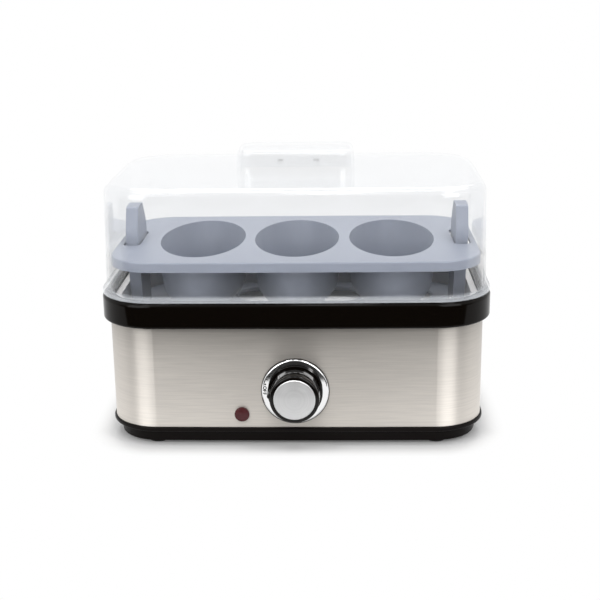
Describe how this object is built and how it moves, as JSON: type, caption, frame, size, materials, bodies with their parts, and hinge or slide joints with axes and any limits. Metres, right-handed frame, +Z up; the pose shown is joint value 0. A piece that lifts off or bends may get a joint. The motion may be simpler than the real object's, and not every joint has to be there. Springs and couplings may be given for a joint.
{
  "type": "egg cooker",
  "caption": "Electric egg cooker: brushed steel body, water bowl, egg rack, poaching tray with long cups and a clear lid with a moulded handle.",
  "frame": {"origin": "middle of the overall footprint, knob included, on the surface that the feet stand on", "axes": "+Z up, -Y towards the front with the knob and the lamp, +X to the right as seen from the front"},
  "size_m": [0.24, 0.1562, 0.1755],
  "materials": {
    "black_moulding": "moulded satin black",
    "rubber_black": "matt",
    "zinc_steel": "bright zinc",
    "brushed_steel": "brushed along the length",
    "black_gloss": "high gloss",
    "stainless_bowl": "drawn satin",
    "silicone_seal": "translucent white silicone",
    "aluminium_plate": "as rolled",
    "element_sheath": "satin",
    "zinc_sheet": "zinc plated",
    "phenolic_brown": "moulded",
    "fuse_metal": "satin",
    "timer_white": "moulded",
    "brass_tabs": "bare",
    "mirror_dial": "mirror bright",
    "spring_steel": "hardened",
    "spun_aluminium": "spun",
    "red_lens": "gloss",
    "lamp_glass": "clear",
    "block_white": "moulded",
    "grey_moulding": "moulded satin grey",
    "clear_lid": "clear moulded plastic"
  },
  "bodies": {
    "cooker_base": {"base_pan": "black_moulding", "feet": "rubber_black", "tie_screws": "zinc_steel", "steel_housing": "brushed_steel", "rim_bezel": "black_gloss", "heating_bowl": "stainless_bowl", "bowl_seal": "silicone_seal", "heat_spreader": "aluminium_plate", "heating_element": "element_sheath", "bowl_studs": "zinc_steel", "clamp_straps": "zinc_sheet", "strap_nuts": "zinc_steel", "thermostat": "phenolic_brown", "thermostat_bracket": "zinc_sheet", "heater_screws": "zinc_steel", "thermal_fuse": "fuse_metal", "fuse_clip": "zinc_sheet", "timer_plate": "zinc_sheet", "timer_case": "timer_white", "timer_terminals": "brass_tabs", "control_nut": "zinc_steel", "dial_ring": "mirror_dial", "lamp_lens": "red_lens", "lamp_clip": "spring_steel", "neon_lamp": "lamp_glass", "cord_bushing": "rubber_black", "bushing_lock": "black_moulding", "terminal_block": "block_white", "block_screws": "brass_tabs"},
    "knob": {"knob_body": "black_gloss", "knob_cap": "spun_aluminium", "knob_clip": "spring_steel", "timer_shaft": "zinc_steel"},
    "rack": {"egg_rack": "grey_moulding"},
    "tray": {"poaching_tray": "grey_moulding"},
    "lid": {"lid": "clear_lid"}
  },
  "joints": [
    {"name": "knob_turn", "type": "hinge", "parent": "cooker_base", "child": "knob", "pos_m": [0, -0.0699, 0.0367], "axis": [0, 1, 0], "range_deg": [0, 270]},
    {"name": "rack_lift", "type": "slide", "parent": "cooker_base", "child": "rack", "axis": [0, 0, 1], "range_m": [0, 0.05]},
    {"name": "tray_lift", "type": "slide", "parent": "rack", "child": "tray", "axis": [0, 0, 1], "range_m": [0, 0.05]},
    {"name": "lid_lift", "type": "slide", "parent": "tray", "child": "lid", "axis": [0, 0, 1], "range_m": [0, 0.12]}
  ]
}
